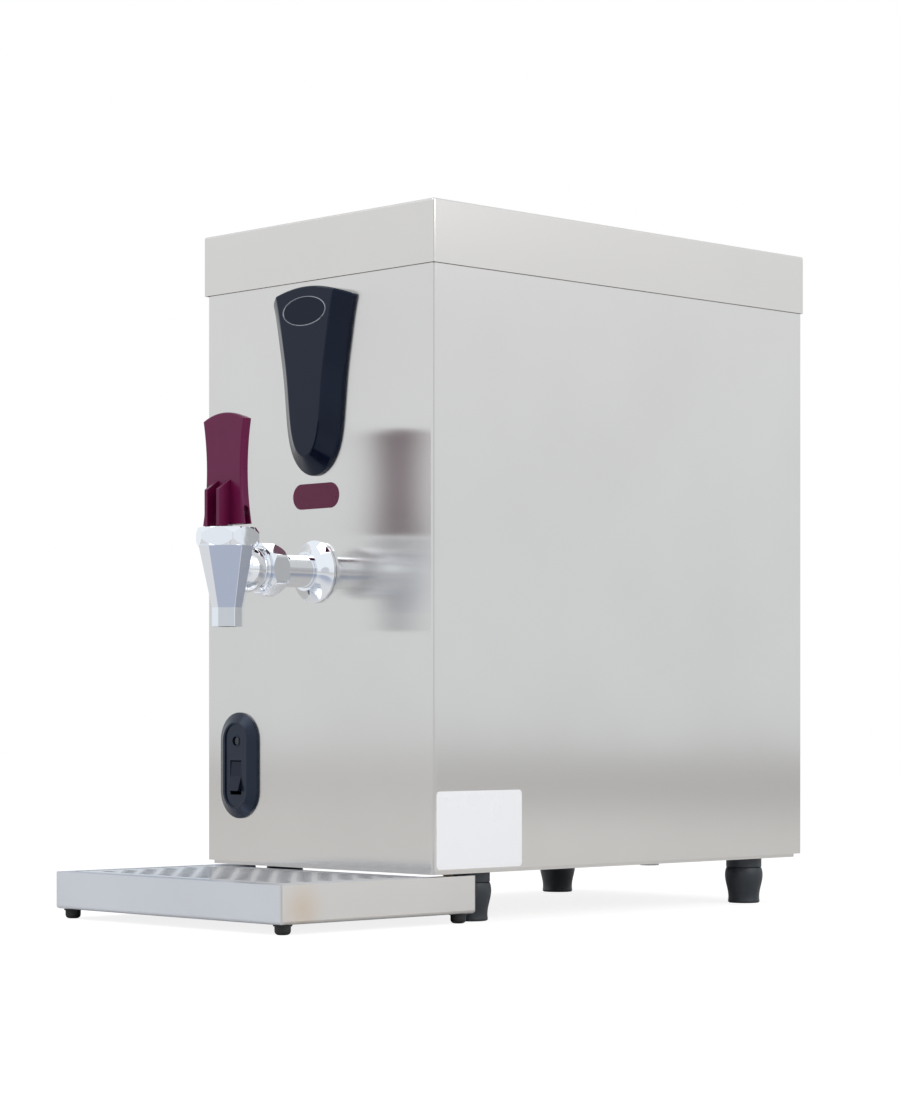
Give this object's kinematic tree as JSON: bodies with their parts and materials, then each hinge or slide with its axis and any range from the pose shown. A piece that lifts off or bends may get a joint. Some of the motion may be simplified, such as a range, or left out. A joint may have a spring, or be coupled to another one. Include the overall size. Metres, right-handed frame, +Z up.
{
  "type": "countertop water boiler",
  "caption": "Narrow stainless countertop water boiler with a lever tap, rocker switch, blank badge, screw feet and a separate slotted drip tray.",
  "frame": {"origin": "on the counter, under the middle of the box round the whole machine", "axes": "+Z up, -Y towards the user at the tap, +X to the right as the user sees it"},
  "size_m": [0.2132, 0.4814, 0.43],
  "materials": {
    "case_stainless": "fine brushed, satin",
    "tray_stainless": "satin",
    "tap_chrome": "polished",
    "lever_plastic": "semi-gloss moulding",
    "badge_plastic": "semi-gloss moulding",
    "badge_silver": "satin",
    "bezel_plastic": "semi-gloss moulding",
    "rocker_plastic": "semi-gloss moulding",
    "lens_plastic": "smoked lens, unlit",
    "foot_plastic": "matt moulding",
    "label_film": "printed film, blank",
    "plate_film": "white film, blank",
    "tank_stainless": "mill finish",
    "bright_steel": "turned",
    "brass_fitting": "turned",
    "black_rubber": "matt",
    "clear_hose": "silicone",
    "insulation_foam": "foam",
    "inner_plastic": "matt moulding",
    "board_laminate": "laminate",
    "button_plastic": "moulded"
  },
  "bodies": {
    "boiler": {"case_wrap": "case_stainless", "lid": "case_stainless", "rear_panel": "case_stainless", "base_pan": "tray_stainless", "tap_escutcheon": "tap_chrome", "tap_shank": "tap_chrome", "tap_union_nut": "tap_chrome", "tap_body": "tap_chrome", "tap_bonnet": "tap_chrome", "badge": "badge_plastic", "badge_plate": "badge_silver", "switch_bezel": "bezel_plastic", "indicator_lens": "lens_plastic", "foot_collars": "foot_plastic", "front_label": "label_film", "rating_plate": "plate_film", "tank": "tank_stainless", "tank_lid": "tank_stainless", "tank_channels": "tank_stainless", "tank_bolts": "tank_stainless", "vent_pipe": "tank_stainless", "probe_rods": "tank_stainless", "temperature_sensor": "tank_stainless", "element_loops": "tank_stainless", "casing_screws": "bright_steel", "tap_washer": "bright_steel", "hose_clips": "bright_steel", "tap_back_nut": "brass_fitting", "inlet_nut": "brass_fitting", "inlet_valve": "brass_fitting", "drain_plug": "brass_fitting", "element_head": "brass_fitting", "union_washer": "black_rubber", "tank_gasket": "black_rubber", "element_washer": "black_rubber", "fill_hose": "clear_hose", "tank_insulation": "insulation_foam", "switch_body": "inner_plastic", "indicator_lamp": "inner_plastic", "cutout_body": "inner_plastic", "valve_coil": "inner_plastic", "terminal_block": "inner_plastic", "cable_gland": "inner_plastic", "probe_holders": "inner_plastic", "board_standoffs": "inner_plastic", "control_board": "board_laminate"},
    "rocker": {"rocker": "rocker_plastic"},
    "stem": {"tap_stem": "bright_steel", "seat_cup": "black_rubber", "tap_spring": "bright_steel"},
    "lever": {"tap_lever": "lever_plastic", "lever_pin": "bright_steel"},
    "reset_button": {"reset_button": "button_plastic"},
    "tray": {"drip_tray": "tray_stainless", "tray_feet": "black_rubber"},
    "grid": {"tray_grid": "tray_stainless"},
    "foot_front_left": {"foot_front_left": "foot_plastic"},
    "foot_rear_left": {"foot_rear_left": "foot_plastic"},
    "foot_front_right": {"foot_front_right": "foot_plastic"},
    "foot_rear_right": {"foot_rear_right": "foot_plastic"}
  },
  "joints": [
    {"name": "rocker_tilt", "type": "hinge", "parent": "boiler", "child": "rocker", "pos_m": [-0.0722, -0.12005, 0.085], "axis": [1, 0, 0], "range_deg": [0, 20]},
    {"name": "stem_lift", "type": "slide", "parent": "boiler", "child": "stem", "axis": [0, 0, 1], "range_m": [0, 0.0042], "deforming": ["tap_spring"]},
    {"name": "lever_tilt", "type": "hinge", "parent": "stem", "child": "lever", "pos_m": [0, -0.19175, 0.2452], "axis": [1, 0, 0], "range_deg": [0, 25], "stiffness_Nm_per_rad": 0.3, "springref_deg": -11.46},
    {"name": "button_press", "type": "slide", "parent": "boiler", "child": "reset_button", "axis": [0, -1, 0], "range_m": [0, 0.0016], "stiffness_N_per_m": 500, "springref_m": -0.002},
    {"name": "tray_slide", "type": "slide", "parent": "boiler", "child": "tray", "axis": [0, -1, 0], "range_m": [0, 0.16]},
    {"name": "grid_lift", "type": "slide", "parent": "tray", "child": "grid", "axis": [0, 0, 1], "range_m": [0, 0.025]},
    {"name": "foot_front_left_turn", "type": "hinge", "parent": "boiler", "child": "foot_front_left", "pos_m": [-0.086, -0.07225, 0.012], "axis": [0, 0, 1], "continuous": true},
    {"name": "foot_rear_left_turn", "type": "hinge", "parent": "boiler", "child": "foot_rear_left", "pos_m": [-0.086, 0.18115, 0.012], "axis": [0, 0, 1], "continuous": true},
    {"name": "foot_front_right_turn", "type": "hinge", "parent": "boiler", "child": "foot_front_right", "pos_m": [0.086, -0.07225, 0.012], "axis": [0, 0, 1], "continuous": true},
    {"name": "foot_rear_right_turn", "type": "hinge", "parent": "boiler", "child": "foot_rear_right", "pos_m": [0.086, 0.18115, 0.012], "axis": [0, 0, 1], "continuous": true}
  ],
  "couplings": [
    {"joint": "stem_lift", "follows": "lever_tilt", "m_per_rad": 0.0095}
  ]
}
